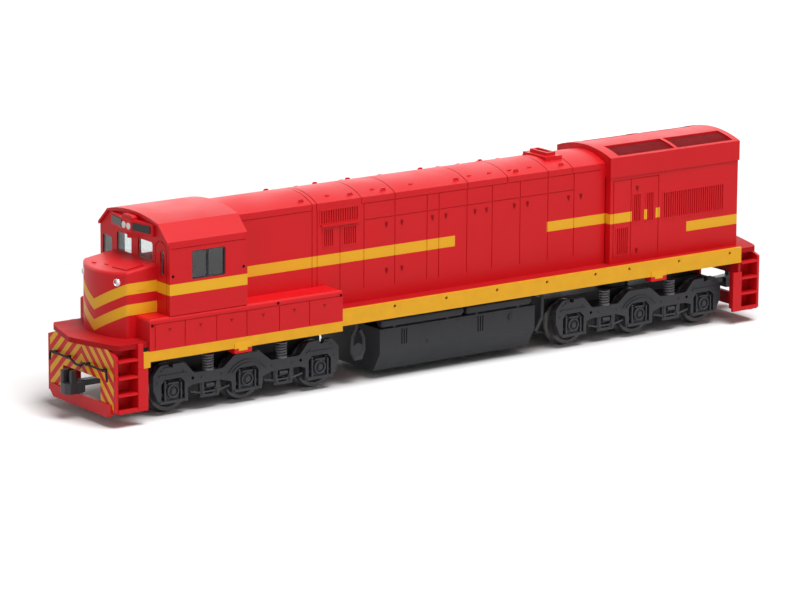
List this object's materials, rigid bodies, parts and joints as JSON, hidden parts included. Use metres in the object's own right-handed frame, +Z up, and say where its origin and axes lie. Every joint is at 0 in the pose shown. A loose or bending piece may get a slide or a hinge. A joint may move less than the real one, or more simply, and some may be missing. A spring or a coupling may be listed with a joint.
{
  "type": "diesel locomotive",
  "caption": "Model of a six-axle diesel hood locomotive with a low short nose, full-width cab, long hood, wide radiator section and swivelling trucks with free wheelsets.",
  "frame": {"origin": "middle of the model's length and width, on the floor under the wheel flanges", "axes": "+X forward to the short nose, +Y to the left side, +Z up"},
  "size_m": [0.2322, 0.0352, 0.0554],
  "materials": {
    "body_red": "satin paint on moulded plastic",
    "walkway_red": "satin paint with tread texture",
    "stripe_yellow": "satin paint",
    "underframe_grey": "matte moulded plastic",
    "truck_grey": "matte moulded plastic",
    "wheel_metal": "turned and blackened metal",
    "coupler_dark": "plain moulded plastic",
    "wire_black": "thin moulded wire",
    "sash_silver": "printed silver sash",
    "clear_panes": "clear moulded panes",
    "lamp_clear": "clear moulded lenses",
    "board_black": "gloss black, bare",
    "grille_red": "paint on fine slats",
    "grille_dark": "paint on fine slats",
    "ballast": "plain cast block"
  },
  "bodies": {
    "body": {"deck": "walkway_red", "left_side_sill": "stripe_yellow", "right_side_sill": "stripe_yellow", "centre_sill": "underframe_grey", "front_pilot": "body_red", "rear_pilot": "body_red", "front_steps": "body_red", "rear_steps": "body_red", "front_uncoupling_lever": "wire_black", "rear_uncoupling_lever": "wire_black", "fuel_tank": "underframe_grey", "air_reservoirs": "underframe_grey", "jacking_pads": "body_red", "underframe_pipes": "underframe_grey", "left_equipment_box": "body_red", "right_equipment_box": "body_red", "short_nose": "body_red", "cab_shell": "body_red", "cab_roof": "body_red", "cab_side_sashes": "sash_silver", "cab_glazing": "clear_panes", "headlight_housing": "body_red", "number_boards": "board_black", "long_hood": "body_red", "hood_louvres": "body_red", "lifting_eyes": "body_red", "exhaust_stack": "body_red", "radiator_section": "body_red", "radiator_side_grilles": "grille_red", "radiator_roof_grilles": "grille_dark", "hood_weight": "ballast", "rear_lamp_housing": "body_red", "lamp_lenses": "lamp_clear"},
    "front_truck": {"front_truck_gearcase": "truck_grey", "front_truck_left_frame": "truck_grey", "front_truck_right_frame": "truck_grey", "front_truck_springs": "truck_grey"},
    "front_wheelset_1": {"front_wheelset_1": "wheel_metal"},
    "front_wheelset_2": {"front_wheelset_2": "wheel_metal"},
    "front_wheelset_3": {"front_wheelset_3": "wheel_metal"},
    "front_coupler": {"front_coupler": "coupler_dark"},
    "rear_truck": {"rear_truck_gearcase": "truck_grey", "rear_truck_left_frame": "truck_grey", "rear_truck_right_frame": "truck_grey", "rear_truck_springs": "truck_grey"},
    "rear_wheelset_1": {"rear_wheelset_1": "wheel_metal"},
    "rear_wheelset_2": {"rear_wheelset_2": "wheel_metal"},
    "rear_wheelset_3": {"rear_wheelset_3": "wheel_metal"},
    "rear_coupler": {"rear_coupler": "coupler_dark"}
  },
  "joints": [
    {"name": "front_truck_swivel", "type": "hinge", "parent": "body", "child": "front_truck", "pos_m": [0.0656, 0, 0.0156], "axis": [0, 0, 1], "range_deg": [-6, 6]},
    {"name": "front_wheelset_1_spin", "type": "hinge", "parent": "front_truck", "child": "front_wheelset_1", "pos_m": [0.08936, 0, 0.00668], "axis": [0, 1, 0], "continuous": true},
    {"name": "front_wheelset_2_spin", "type": "hinge", "parent": "front_truck", "child": "front_wheelset_2", "pos_m": [0.0656, 0, 0.00668], "axis": [0, 1, 0], "continuous": true},
    {"name": "front_wheelset_3_spin", "type": "hinge", "parent": "front_truck", "child": "front_wheelset_3", "pos_m": [0.04184, 0, 0.00668], "axis": [0, 1, 0], "continuous": true},
    {"name": "front_coupler_swing", "type": "hinge", "parent": "front_truck", "child": "front_coupler", "pos_m": [0.1011, 0, 0.0095], "axis": [0, 0, 1], "range_deg": [-5, 5]},
    {"name": "rear_truck_swivel", "type": "hinge", "parent": "body", "child": "rear_truck", "pos_m": [-0.0692, 0, 0.0156], "axis": [0, 0, 1], "range_deg": [-6, 6]},
    {"name": "rear_wheelset_1_spin", "type": "hinge", "parent": "rear_truck", "child": "rear_wheelset_1", "pos_m": [-0.04544, 0, 0.00668], "axis": [0, 1, 0], "continuous": true},
    {"name": "rear_wheelset_2_spin", "type": "hinge", "parent": "rear_truck", "child": "rear_wheelset_2", "pos_m": [-0.0692, 0, 0.00668], "axis": [0, 1, 0], "continuous": true},
    {"name": "rear_wheelset_3_spin", "type": "hinge", "parent": "rear_truck", "child": "rear_wheelset_3", "pos_m": [-0.09296, 0, 0.00668], "axis": [0, 1, 0], "continuous": true},
    {"name": "rear_coupler_swing", "type": "hinge", "parent": "rear_truck", "child": "rear_coupler", "pos_m": [-0.1011, 0, 0.0095], "axis": [0, 0, 1], "range_deg": [-5, 5]}
  ]
}
